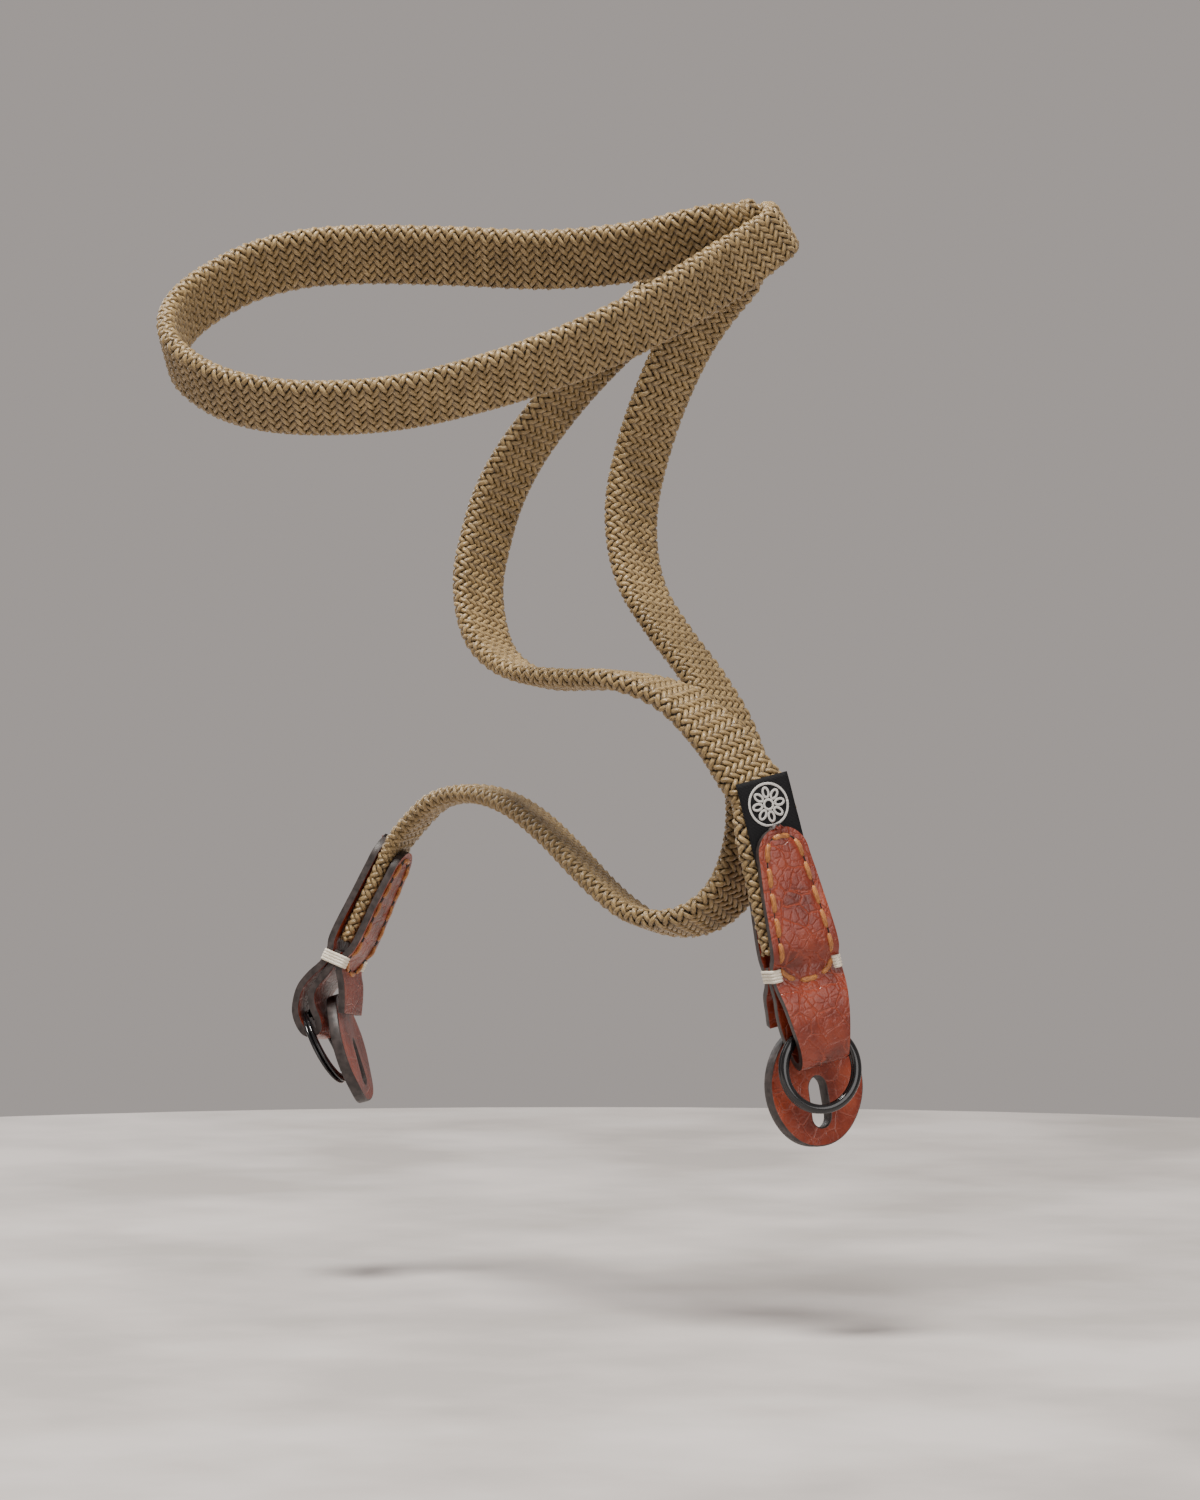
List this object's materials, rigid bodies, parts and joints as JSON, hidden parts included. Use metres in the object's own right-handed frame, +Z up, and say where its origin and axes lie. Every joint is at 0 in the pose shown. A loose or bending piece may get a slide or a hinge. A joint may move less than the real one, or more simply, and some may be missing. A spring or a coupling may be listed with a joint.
{
  "type": "camera neck strap",
  "caption": "Flat braided camera neck strap with folded leather ends, split rings, round leather protectors and a woven label, standing in loops.",
  "frame": {"origin": "midway between the two points that the strap's ends hang from, 142.6 mm apart along X", "axes": "+X from the far end to the near end, +Y from the front to the back of the camera that the strap is clipped to, which is the wearer's side, +Z up"},
  "size_m": [0.159, 0.1103, 0.1972],
  "materials": {
    "braid": "glossy flat tubular braid of khaki yarn",
    "leather": "red-brown grained leather with dark edges",
    "label": "black woven label",
    "ring": "gloss black",
    "thread": "waxed cream thread"
  },
  "bodies": {
    "root": {"band": "braid", "near_tab": "leather", "near_backing": "leather", "near_binding_left": "thread", "near_binding_right": "thread", "near_ring": "ring", "near_label": "label", "near_disc": "leather", "far_tab": "leather", "far_backing": "leather", "far_binding_left": "thread", "far_binding_right": "thread", "far_ring": "ring", "far_disc": "leather"}
  },
  "joints": []
}
